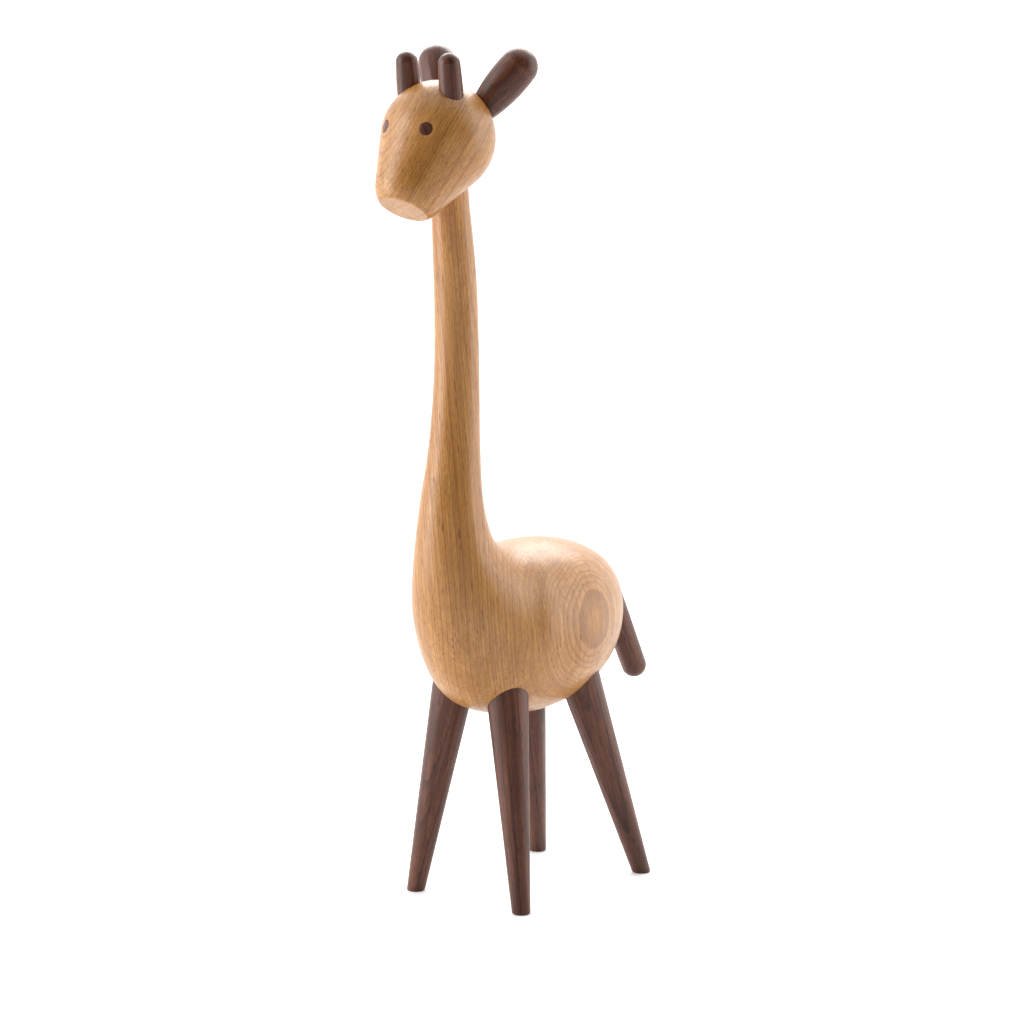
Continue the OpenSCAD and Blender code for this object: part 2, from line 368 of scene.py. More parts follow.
class Bench:
    """A short way to lay out the shader nodes of one tree."""

    def __init__(self, tree: bpy.types.NodeTree) -> None:
        """Takes the tree that the nodes go in."""
        self.tree = tree

    def feed(self, socket: bpy.types.NodeSocket, value: object) -> None:
        """Links an output to a socket, or sets the socket to a plain value.

        Args:
            socket: The socket that is fed.
            value: The output or plain value that it gets.
        """
        if isinstance(value, bpy.types.NodeSocket):
            self.tree.links.new(value, socket)
        else:
            socket.default_value = value

    def node(self, kind: str, **inputs: object) -> bpy.types.Node:
        """Adds a node and feeds its sockets by name, with _ for a space.

        Args:
            kind: The node's type.
            inputs: What each named socket gets.

        Returns:
            The new node.
        """
        made = self.tree.nodes.new(kind)
        for name, value in inputs.items():
            self.feed(made.inputs[name.replace("_", " ")], value)
        return made

    def sum(self, operation: str, *values: object) -> bpy.types.NodeSocket:
        """Adds a Math node.

        Args:
            operation: The node's operation.
            values: What its sockets get, in order.

        Returns:
            Its value.
        """
        made = self.tree.nodes.new("ShaderNodeMath")
        made.operation = operation
        for socket, value in zip(made.inputs, values):
            self.feed(socket, value)
        return made.outputs[0]

    def scaled(self, vector: object, across: object, along: object) -> bpy.types.NodeSocket:
        """Measures a vector in steps of one width across the grain and one length along it.

        Args:
            vector: The vector that is measured.
            across: The step across the grain.
            along: The step along it.

        Returns:
            The measured vector.
        """
        steps = self.node("ShaderNodeCombineXYZ", X=across, Y=across, Z=along)
        made = self.tree.nodes.new("ShaderNodeVectorMath")
        made.operation = "DIVIDE"
        self.feed(made.inputs[0], vector)
        self.feed(made.inputs[1], steps.outputs[0])
        return made.outputs[0]

    def ramp(
        self, value: object, start: float, end: float, low: float = 0.0, high: float = 1.0
    ) -> bpy.types.NodeSocket:
        """Eases a value from low at start to high at end.

        Args:
            value: The value that is eased.
            start: Where the easing starts.
            end: Where it ends.
            low: The result at the start.
            high: The result at the end.

        Returns:
            The eased value.
        """
        made = self.tree.nodes.new("ShaderNodeMapRange")
        made.interpolation_type = "SMOOTHSTEP"
        for name, given in (
            ("Value", value),
            ("From Min", start),
            ("From Max", end),
            ("To Min", low),
            ("To Max", high),
        ):
            self.feed(made.inputs[name], given)
        return made.outputs[0]

    def noise(
        self, vector: object, detail: float = 2.0, roughness: float = 0.5
    ) -> bpy.types.NodeSocket:
        """Adds soft noise, one unit of the vector from lump to lump.

        Args:
            vector: Where the noise is read.
            detail: How many finer layers it has.
            roughness: How strong the finer layers are.

        Returns:
            The noise's value.
        """
        made = self.node(
            "ShaderNodeTexNoise", Vector=vector, Scale=1.0, Detail=detail, Roughness=roughness
        )
        return made.outputs[0]

    def mix(self, share: object, first: object, second: object) -> bpy.types.NodeSocket:
        """Mixes two colours.

        Args:
            share: The second colour's share.
            first: The first colour.
            second: The second colour.

        Returns:
            The mixed colour.
        """
        made = self.tree.nodes.new("ShaderNodeMix")
        made.data_type = "RGBA"
        self.feed(made.inputs["Factor"], share)
        for name, value in (("A", first), ("B", second)):
            socket = next(s for s in made.inputs if s.name == name and s.type == "RGBA")
            self.feed(socket, value)
        return next(s for s in made.outputs if s.type == "RGBA")


def group(name: str, inputs: dict[str, float | None], outputs: Sequence[str]) -> tuple:
    """Starts a node group with named sockets.

    Args:
        name: The group's name.
        inputs: Each input's name with its default, or None for a vector.
        outputs: The names of its outputs, which are plain values.

    Returns:
        The group's tree, its bench, its input sockets by name, and its output node.
    """
    tree = bpy.data.node_groups.new(name, "ShaderNodeTree")
    for label, default in inputs.items():
        kind = "NodeSocketVector" if default is None else "NodeSocketFloat"
        socket = tree.interface.new_socket(label, in_out="INPUT", socket_type=kind)
        if default is not None:
            socket.default_value = default
    for label in outputs:
        tree.interface.new_socket(label, in_out="OUTPUT", socket_type="NodeSocketFloat")
    given = tree.nodes.new("NodeGroupInput")
    result = tree.nodes.new("NodeGroupOutput")
    sockets = {label: given.outputs[label] for label in inputs}
    return tree, Bench(tree), sockets, result


class WoodEffects:
    """The effects that every wood of the figure shares, each a node group made once.

    They all take a place in the wood in millimetres, with Z along the grain.
    """

    def __init__(self) -> None:
        """Makes the groups."""
        self.rings = self._rings()
        self.pores = self._pores()
        self.streaks = self._streaks()
        self.wear = self._wear()

    @staticmethod
    def _rings() -> bpy.types.NodeTree:
        """Growth rings round the Z axis: late wood, early wood and a tone for each ring.

        Returns:
            The group's tree.
        """
        tree, bench, given, result = group(
            "Growth rings",
            {"Vector": None, "Ring Width": 1.5, "Waver": 2.0},
            ("Late Wood", "Early Wood", "Tone"),
        )
        parts = bench.node("ShaderNodeSeparateXYZ", Vector=given["Vector"])
        reach = bench.sum(
            "SQRT",
            bench.sum(
                "ADD",
                bench.sum("MULTIPLY", parts.outputs[0], parts.outputs[0]),
                bench.sum("MULTIPLY", parts.outputs[1], parts.outputs[1]),
            ),
        )
        slow = bench.noise(bench.scaled(given["Vector"], 34.0, 120.0), 1.0)
        quick = bench.noise(bench.scaled(given["Vector"], 5.0, 26.0), 2.0)
        slow_part = bench.sum("MULTIPLY", bench.sum("SUBTRACT", slow, 0.5), given["Waver"])
        quick_part = bench.sum("MULTIPLY", bench.sum("SUBTRACT", quick, 0.5), 0.5)
        moved = bench.sum("ADD", bench.sum("MULTIPLY", slow_part, 2.0), quick_part)
        rho = bench.sum("ADD", reach, moved)
        years = bench.sum("DIVIDE", rho, given["Ring Width"])
        spread = bench.node("ShaderNodeCombineXYZ", X=bench.sum("MULTIPLY", years, 0.37))
        uneven = bench.sum("MULTIPLY", bench.noise(spread.outputs[0], 2.0), 4.0)
        age = bench.sum("ADD", years, uneven)
        part = bench.sum("FRACT", age)
        late = bench.sum("MULTIPLY", bench.ramp(part, 0.5, 0.92), bench.ramp(part, 1.0, 0.95))
        toned = bench.tree.nodes.new("ShaderNodeTexWhiteNoise")
        toned.noise_dimensions = "1D"
        bench.feed(toned.inputs["W"], bench.sum("FLOOR", age))
        bench.feed(result.inputs["Late Wood"], late)
        bench.feed(result.inputs["Early Wood"], bench.ramp(part, 0.42, 0.02))
        bench.feed(result.inputs["Tone"], toned.outputs["Value"])
        return tree

    @staticmethod
    def _pores() -> bpy.types.NodeTree:
        """Open pores, each a short groove along the grain.

        Returns:
            The group's tree.
        """
        tree, bench, given, result = group(
            "Pores", {"Vector": None, "Width": 0.3, "Length": 4.0, "Share": 0.5}, ("Mask",)
        )
        place = bench.scaled(given["Vector"], given["Width"], given["Length"])
        cells = bench.node("ShaderNodeTexVoronoi", Vector=place, Scale=0.45, Randomness=1.0)
        chance = bench.node("ShaderNodeSeparateXYZ", Vector=cells.outputs["Color"])
        there = bench.sum("LESS_THAN", chance.outputs[0], given["Share"])
        dark = bench.ramp(cells.outputs["Distance"], 0.42, 0.18)
        depth = bench.sum("MULTIPLY", dark, bench.ramp(chance.outputs[1], 0.0, 1.0, 0.4, 1.0))
        bench.feed(result.inputs["Mask"], bench.sum("MULTIPLY", there, depth))
        return tree

    @staticmethod
    def _streaks() -> bpy.types.NodeTree:
        """Long soft streaks along the grain.

        Returns:
            The group's tree.
        """
        tree, bench, given, result = group(
            "Streaks", {"Vector": None, "Width": 3.0, "Length": 90.0}, ("Value",)
        )
        place = bench.scaled(given["Vector"], given["Width"], given["Length"])
        bench.feed(result.inputs["Value"], bench.ramp(bench.noise(place, 3.0, 0.6), 0.3, 0.7))
        return tree

    @staticmethod
    def _wear() -> bpy.types.NodeTree:
        """Painted highlight on sharp convex edges, and painted shade in hollows, both read from the
        mesh's pointiness and broken into patches.

        Returns:
            The group's tree.
        """
        tree, bench, given, result = group(
            "Edge wear", {"Vector": None, "Breakup": 6.0}, ("Edge", "Hollow")
        )
        shape = bench.tree.nodes.new("ShaderNodeNewGeometry").outputs["Pointiness"]
        patchy = bench.noise(bench.scaled(given["Vector"], given["Breakup"], given["Breakup"]))
        patches = bench.ramp(patchy, 0.3, 0.65, 0.35, 1.0)
        # Edge: painted highlight on sharp convex edges.
        bench.feed(
            result.inputs["Edge"], bench.sum("MULTIPLY", bench.ramp(shape, 0.53, 0.6), patches)
        )
        # Hollow: painted shade in the hollows.
        bench.feed(
            result.inputs["Hollow"], bench.sum("MULTIPLY", bench.ramp(shape, 0.47, 0.4), patches)
        )
        return tree


@dataclass(frozen=True)
class Billet:
    """Where a piece was sawn from the tree.

    Attributes:
        pith: The tree's heart beside the piece, in its own frame, in metres.
        lean: The tilt of the grain from the piece's own Z axis, about X and Y, in degrees.
        seed: How far along the tree the piece was, in metres.
    """

    pith: tuple[float, float]
    lean: tuple[float, float] = (0.0, 0.0)
    seed: float = 0.0

    def place(self, bench: Bench, own: Matrix) -> bpy.types.NodeSocket:
        """Turns a place in the frame into a place in the tree.

        Args:
            bench: The material's bench.
            own: The piece's own frame.

        Returns:
            The place in the tree, in millimetres with Z along the grain.
        """
        lean = Euler((math.radians(self.lean[0]), math.radians(self.lean[1]), 0)).to_matrix()
        inward = own.inverted()
        heart = Vector((-self.pith[0], -self.pith[1], self.seed))
        moved = bench.node(
            "ShaderNodeMapping",
            Vector=bench.node("ShaderNodeTexCoord").outputs["Object"],
            Location=(lean @ inward.translation + heart) / MM,
            Rotation=(lean @ inward.to_3x3()).to_euler(),
            Scale=(1 / MM, 1 / MM, 1 / MM),
        )
        return moved.outputs[0]


@dataclass(frozen=True)
class Wood:
    """An oiled wood.

    Attributes:
        pale: Its palest colour between the streaks, also painted on sharp edges as a highlight.
        warm: Its usual colour.
        late: The colour of its late wood lines.
        pore: The colour inside a pore, also painted in hollows as shade.
        ring_width: The width of a growth ring, in millimetres.
        waver: How far the rings waver, in millimetres.
        ring_strength: How much the late wood shows.
        pore_width: The width of its larger pores, in millimetres.
        pore_length: Their length.
        pore_strength: How dark they are.
        streak_width: The width of its streaks, in millimetres.
        roughness: How rough its oiled surface is.
        specular: How much the bare wood shines.
        sheen_coat: How much the oil and wax shine over the wood.
    """

    pale: Colour
    warm: Colour
    late: Colour
    pore: Colour
    ring_width: float
    waver: float
    ring_strength: float
    pore_width: float
    pore_length: float
    pore_strength: float
    streak_width: float
    roughness: float
    specular: float
    sheen_coat: float

    def finish(
        self, name: str, own: Matrix, billet: Billet, effects: WoodEffects
    ) -> bpy.types.Material:
        """Makes this wood's finish for one piece.

        Args:
            name: The material's name.
            own: The piece's own frame.
            billet: Where the piece was sawn from the tree.
            effects: The shared node groups.

        Returns:
            The new material.
        """
        material = bpy.data.materials.new(name)
        material.use_nodes = True
        tree = material.node_tree
        bench = Bench(tree)
        shader = tree.nodes["Principled BSDF"]
        place = billet.place(bench, own)

        def effect(made: bpy.types.NodeTree, **inputs: object) -> bpy.types.Node:
            """Places one of the shared groups with its own values.

            Args:
                made: The group's tree.
                inputs: What its named sockets get, with _ for a space.

            Returns:
                The group's node.
            """
            node = tree.nodes.new("ShaderNodeGroup")
            node.node_tree = made
            for label, value in {"Vector": place, **inputs}.items():
                bench.feed(node.inputs[label.replace("_", " ")], value)
            return node

        rings = effect(effects.rings, Ring_Width=self.ring_width, Waver=self.waver)
        late = rings.outputs["Late Wood"]
        early = rings.outputs["Early Wood"]
        broad = effect(effects.streaks, Width=self.streak_width * 4, Length=160.0)
        thin = effect(effects.streaks, Width=self.streak_width, Length=70.0)
        fibre = effect(effects.streaks, Width=self.streak_width / 5, Length=9.0)
        large = effect(
            effects.pores, Width=self.pore_width, Length=self.pore_length, Share=0.62
        )
        small = effect(
            effects.pores, Width=self.pore_width / 2, Length=self.pore_length / 2, Share=0.8
        )
        wear = effect(effects.wear)

        tint = bench.mix(
            bench.ramp(broad.outputs["Value"], 0.0, 1.0, 0.15, 0.85), self.pale, self.warm
        )
        tint = bench.mix(
            bench.sum("MULTIPLY", thin.outputs["Value"], 0.45), tint, self.late
        )
        ringed = bench.sum("MULTIPLY", late, self.ring_strength)
        tint = bench.mix(ringed, tint, self.late)
        tint = bench.mix(
            bench.sum("MULTIPLY", rings.outputs["Tone"], self.ring_strength * 0.4), tint, self.pale
        )
        tint = bench.mix(
            bench.sum("MULTIPLY", fibre.outputs["Value"], 0.22), tint, self.late
        )
        crowd = bench.ramp(early, 0.0, 1.0, 0.45, 1.0)
        open_pores = bench.sum("MULTIPLY", large.outputs["Mask"], crowd)
        grooves = bench.sum("MAXIMUM", open_pores, bench.sum("MULTIPLY", small.outputs["Mask"], 0.5))
        tint = bench.mix(bench.sum("MULTIPLY", grooves, self.pore_strength), tint, self.pore)
        # Painted highlight: sharp convex edges are mixed towards the pale colour. Painted shade:
        # hollows are mixed towards the pore colour.
        tint = bench.mix(bench.sum("MULTIPLY", wear.outputs["Edge"], 0.25), tint, self.pale)
        tint = bench.mix(bench.sum("MULTIPLY", wear.outputs["Hollow"], 0.4), tint, self.pore)
        bench.feed(shader.inputs["Base Color"], tint)

        rough = bench.ramp(thin.outputs["Value"], 0.0, 1.0, self.roughness - 0.05, self.roughness)
        rough = bench.sum("ADD", rough, bench.sum("MULTIPLY", grooves, 0.2))
        rough = bench.sum("SUBTRACT", rough, bench.sum("MULTIPLY", wear.outputs["Edge"], 0.08))
        bench.feed(shader.inputs["Roughness"], rough)

        relief = bench.sum("MULTIPLY", fibre.outputs["Value"], 0.25)
        relief = bench.sum("SUBTRACT", relief, grooves)
        relief = bench.sum("ADD", relief, bench.sum("MULTIPLY", late, 0.3))
        bump = bench.node("ShaderNodeBump", Strength=0.35, Distance=0.08 * MM, Height=relief)
        bench.feed(shader.inputs["Normal"], bump.outputs["Normal"])
        shader.inputs["Coat Weight"].default_value = self.sheen_coat
        shader.inputs["Coat Roughness"].default_value = 0.28
        shader.inputs["Specular IOR Level"].default_value = self.specular
        return material


OAK = Wood(
    pale=(0.68, 0.335, 0.098, 1),
    warm=(0.53, 0.225, 0.046, 1),
    late=(0.27, 0.095, 0.016, 1),
    pore=(0.10, 0.030, 0.006, 1),
    ring_width=1.5,
    waver=3.2,
    ring_strength=0.62,
    pore_width=0.48,
    pore_length=3.6,
    pore_strength=0.85,
    streak_width=1.8,
    roughness=0.42,
    specular=0.45,
    sheen_coat=0.32,
)

WALNUT = Wood(
    pale=(0.24, 0.078, 0.038, 1),
    warm=(0.070, 0.017, 0.0075, 1),
    late=(0.018, 0.004, 0.0016, 1),
    pore=(0.008, 0.002, 0.001, 1),
    ring_width=2.4,
    waver=2.0,
    ring_strength=0.6,
    pore_width=0.42,
    pore_length=3.0,
    pore_strength=0.9,
    streak_width=1.1,
    roughness=0.5,
    specular=0.3,
    sheen_coat=0.3,
)


def dress(
    piece: bpy.types.Object, wood: Wood, billet: Billet, effects: WoodEffects
) -> bpy.types.Object:
    """Gives a piece its wood.

    Args:
        piece: The piece.
        wood: The wood it is made of.
        billet: Where it was sawn from the tree.
        effects: The shared node groups.

    Returns:
        The same piece.
    """
    piece.data.materials.clear()
    finish = wood.finish(f"{piece.name}_finish", piece.matrix_world, billet, effects)
    piece.data.materials.append(finish)
    return piece


# The figure's pieces


@dataclass
class Legs:
    """Four straight tapered legs, each sunk in a tapered seat and sawn level at the foot."""

    foot_d: float = 8.5 * MM
    top_d: float = 20.8 * MM
    end_z: float = 110.5 * MM
    span: float = 29 * MM
    front_end: float = -36 * MM
    rear_end: float = 13.5 * MM
    under_floor: float = 4 * MM
    foot_edge: float = 1.1 * MM
    count: int = 72

    def ends(self, side: Side, rank: Rank, shift: float) -> tuple[Vector, Vector]:
        """Finds the middles of a leg's foot and of its end inside the body.

        Args:
            side: The leg's side.
            rank: Front or rear.
            shift: How far the feet's middle stands behind the frame's origin.

        Returns:
            The middle of the foot and the middle of the inner end.
        """
        foot = mount_place(f"{rank.value}_{side.word}_foot")
        y = self.front_end if rank is Rank.FRONT else self.rear_end
        return foot, Vector((side.value * self.span / 2, y + shift, self.end_z))

    def make(self, side: Side, rank: Rank, shift: float, gap: float = 0.0) -> bpy.types.Object:
        """Makes a leg, or the solid of its seat.

        Args:
            side: The leg's side.
            rank: Front or rear.
            shift: How far the feet's middle stands behind the frame's origin.
            gap: How much wider than the leg the solid is all round.

        Returns:
            The new object.
        """
        foot, end = self.ends(side, rank, shift)
        way = end - foot
        turn = way.to_track_quat("Z", "Y").to_matrix()
        place = Matrix.Translation(foot) @ turn.to_4x4()
        down = turn.transposed() @ Vector((0, 0, -1))
        slope = (self.top_d - self.foot_d) / 2 / way.length
        low = self.foot_d / 2 - slope * self.under_floor
        outline = spaced(
            [(self.top_d / 2 + gap, way.length), (low + gap, -self.under_floor)], 2 * MM
        )
        cut = FlatCut(Vector((0, 0, 0)), down, self.foot_edge, rings=70, flat_rings=4)
        name = f"leg_{rank.value}_{side.word}"
        return cut.turned(name, outline, way.length, place, self.count)


@dataclass
class Tail:
    """A round bar with a domed end, its round root sunk in the rump on a thin spigot."""

    root_d: float = 12.6 * MM
    end_d: float = 12 * MM
    length: float = 43.5 * MM
    lean: float = math.radians(28.1)
    spigot_d: float = 6 * MM
    depth: float = 12 * MM
    seat_back: float = 118.2 * MM
    seat_z: float = 129.9 * MM

    def place(self) -> Matrix:
        """Finds where the tail's own frame stands, with +Z down the tail.

        Returns:
            The frame's place.
        """
        collar = Vector(joint_named("head_turn")["pos_m"])
        seat = Vector((0, collar.y + self.seat_back, self.seat_z))
        return Matrix.Translation(seat) @ Matrix.Rotation(math.pi + self.lean, 4, "X")

    def root(self, gap: float) -> Outline:
        """Draws the spigot and round root, up to the bar's full width.

        Args:
            gap: How much wider than the tail the outline is.

        Returns:
            The outline, from the inner end.
        """
        radius = self.root_d / 2 + gap
        spigot = self.spigot_d / 2 + gap
        start = [(0, -self.depth), (spigot, -self.depth)]
        return start + arc(0, radius, -math.acos(spigot / radius), 0, 20)

    def make(self) -> bpy.types.Object:
        """Makes the tail.

        Returns:
            The new object.
        """
        outline = self.root(0) + [(self.root_d / 2, self.length / 3)]
        outline += arc(self.length, self.end_d / 2, 0, math.pi / 2, 24)
        return turned("tail_bar", spaced(outline, 1.5 * MM), self.place())

    def seat(self) -> bpy.types.Object:
        """Makes the solid that is cut out of the rump for the tail.

        Returns:
            The new object.
        """
        radius = self.root_d / 2 + SEAT_GAP
        outline = self.root(SEAT_GAP) + [(radius, self.length), (0, self.length)]
        return turned("seat_of_tail", spaced(outline, 3 * MM), self.place())


@dataclass
class Body:
    """The body and neck, carved in one, with the round end that the head turns on."""

    width: float = 72 * MM
    height: float = 82 * MM
    belly_z: float = 84.5 * MM
    girth_back: float = 49.7 * MM
    chest_forward: float = 16.8 * MM
    rump_length: float = 72.5 * MM
    neck_height: float = 134.5 * MM
    neck_foot_forward: float = 0.3 * MM
    neck_foot_d: float = 30 * MM
    neck_top_d: float = 17.6 * MM
    spigot_length: float = 30 * MM
    shoulder: float = 0.1 * MM
    rump_narrowing: float = 0.36
    spigot_chamfer: float = 0.6 * MM
    spigot_step: float = 2 * MM
    ring_points: int = 144
    rings_between: int = 12
    rump_rings: int = 48
    first_rump_turn: float = 90 / 16
    # A row is a section: its share of the way down, how far back it stands, its share of the
    # widening, and its tilt in degrees, or None for the neck's own lean.
    neck_rows: tuple[tuple[float, float, float, float | None], ...] = (
        (0.00, 0.3 * MM, 0.00, None),
        (0.16, 2.4 * MM, 0.12, 5),
        (0.32, 3.8 * MM, 0.18, 2),
        (0.56, 4.1 * MM, 0.26, 0),
        (0.80, 2.3 * MM, 0.50, 0),
        (1.00, 0.0, 1.00, 11.5),
    )
    # A row is a section's shares of the way from the neck's foot to the girth: back y, back z,
    # front y, front z and half width.
    shoulder_rows: tuple[tuple[float, ...], ...] = (
        (0.12, 0.60, 0.00, 0.32, 0.20),
        (0.30, 0.86, 0.07, 0.58, 0.45),
        (0.53, 0.97, 0.28, 0.84, 0.71),
        (0.76, 1.00, 0.54, 0.95, 0.93),
    )

    def __post_init__(self) -> None:
        """Reads the neck's end and its lean from the frame."""
        joint = joint_named("head_turn")
        self.collar = Vector(joint["pos_m"])
        self.axis = Vector(joint["axis"]).normalized()
        self.lean = math.degrees(math.atan2(-self.axis.y, self.axis.z))
        self.girth_y = self.collar.y + self.girth_back

    @property
    def shift(self) -> float:
        """How far the feet's middle stands behind the frame's origin."""
        return (mount_place("front_left_foot").y + mount_place("rear_left_foot").y) / 2

    def neck_section(self, row: Sequence[float]) -> Vector:
        """Finds a section of the neck.

        Args:
            row: Its share of the way down, how far back it stands, its share of the widening,
                and its tilt in degrees, or None for the neck's own lean.

        Returns:
            The section's back y, back z, front y, front z and half width.
        """
        down, behind, thick, lean = row
        turn = math.radians(self.lean if lean is None else lean)
        r = (self.neck_top_d + (self.neck_foot_d - self.neck_top_d) * thick) / 2
        y = self.collar.y - self.neck_foot_forward + behind
        z = self.collar.z - self.neck_height * down
        dy = r * math.cos(turn)
        dz = r * math.sin(turn)
        return Vector((y + dy, z + dz, y - dy, z - dz, r))

    def rump_section(self, turn: float) -> Vector:
        """Finds a section of the rump, which closes like half an egg.

        Args:
            turn: How far round the egg it is, from 0 at the girth to a quarter turn.

        Returns:
            The section's back y, back z, front y, front z and half width.
        """
        y = self.girth_y + self.rump_length * math.sin(turn)
        h = self.height / 2 * math.cos(turn)
        narrow = 1 - self.rump_narrowing * math.sin(turn) ** 2
        middle = self.belly_z + self.height / 2
        return Vector((y, middle + h, y, middle - h, self.width / 2 * math.cos(turn) * narrow))

    def guides(self) -> list[Vector]:
        """Finds the sections that the smooth skin passes through.

        Returns:
            The sections, from the collar to the girth.
        """
        neck = [self.neck_section(row) for row in self.neck_rows]
        foot = neck[-1]
        girth = self.rump_section(0)
        start = Vector((foot[0], foot[1], self.collar.y - self.chest_forward, foot[3], foot[4]))
        swung = [
            Vector([a + (b - a) * share for a, b, share in zip(start, girth, row)])
            for row in self.shoulder_rows
        ]
        return neck + swung + [girth]

    def sections(self) -> list[Vector]:
        """Finds all the sections of the smooth skin.

        Returns:
            The sections, from the collar to the rump's end.
        """
        guides = self.guides()
        before = 2 * guides[0] - guides[1]
        after = self.rump_section(math.radians(self.first_rump_turn))
        line = [before, *guides, after]
        made = []
        for a, b, c, d in zip(line, line[1:], line[2:], line[3:]):
            for k in range(self.rings_between):
                t = k / self.rings_between
                made.append(
                    (
                        2 * b
                        + (c - a) * t
                        + (2 * a - 5 * b + 4 * c - d) * t * t
                        + (3 * b - a - 3 * c + d) * t * t * t
                    )
                    / 2
                )
        turns = [math.pi / 2 * k / self.rump_rings for k in range(self.rump_rings)]
        return made + [self.rump_section(turn) for turn in turns]

    def ring(self, section: Vector) -> list[Vector]:
        """Makes the ring of points of a section.

        Args:
            section: Its back y, back z, front y, front z and half width.

        Returns:
            The ring's points.
        """
        back_y, back_z, front_y, front_z, half = section
        ring = []
        for k in range(self.ring_points):
            turn = 2 * math.pi * k / self.ring_points
            c = math.cos(turn)
            y = (back_y + front_y) / 2 + (back_y - front_y) / 2 * c
            z = (back_z + front_z) / 2 + (back_z - front_z) / 2 * c
            ring.append(Vector((half * math.sin(turn), y, z)))
        return ring

    def spigot_ring(self, radius: float, height: float) -> list[Vector]:
        """Makes a ring round the neck's axis.

        Args:
            radius: The ring's radius.
            height: Its height above the collar.

        Returns:
            The ring's points.
        """
        middle = self.collar + self.axis * height
        side = Vector((1, 0, 0))
        back = Vector((0, self.axis.z, -self.axis.y))
        turns = [2 * math.pi * k / self.ring_points for k in range(self.ring_points)]
        return [
            middle + side * radius * math.sin(t) + back * radius * math.cos(t) for t in turns
        ]

    def make(self, legs: Legs, tail: Tail) -> bpy.types.Object:
        """Makes the body, with the seats of the legs and the tail cut in it.

        Args:
            legs: The legs, which sink in their seats.
            tail: The tail, whose root sinks in the rump.

        Returns:
            The new object.
        """
        r = self.neck_top_d / 2 - self.shoulder
        chamfer = self.spigot_chamfer
        steps = range(math.ceil(self.spigot_length / self.spigot_step))
        heights = [self.spigot_length - chamfer - k * self.spigot_step for k in steps]
        rings = [self.spigot_ring(r - chamfer, self.spigot_length)]
        rings += [self.spigot_ring(r, height) for height in heights if height > 0]
        rings += [self.spigot_ring(r, self.shoulder)]
        rings += [self.ring(section) for section in self.sections()]
        first = self.collar + self.axis * self.spigot_length
        last = Vector((0, self.girth_y + self.rump_length, self.belly_z + self.height / 2))
        piece = closed_skin("carved_body", rings, first, last, Matrix.Identity(4))
        seats = [legs.make(side, rank, self.shift, SEAT_GAP) for side in Side for rank in Rank]
        cut_seats(piece, [*seats, tail.seat()])
        return piece


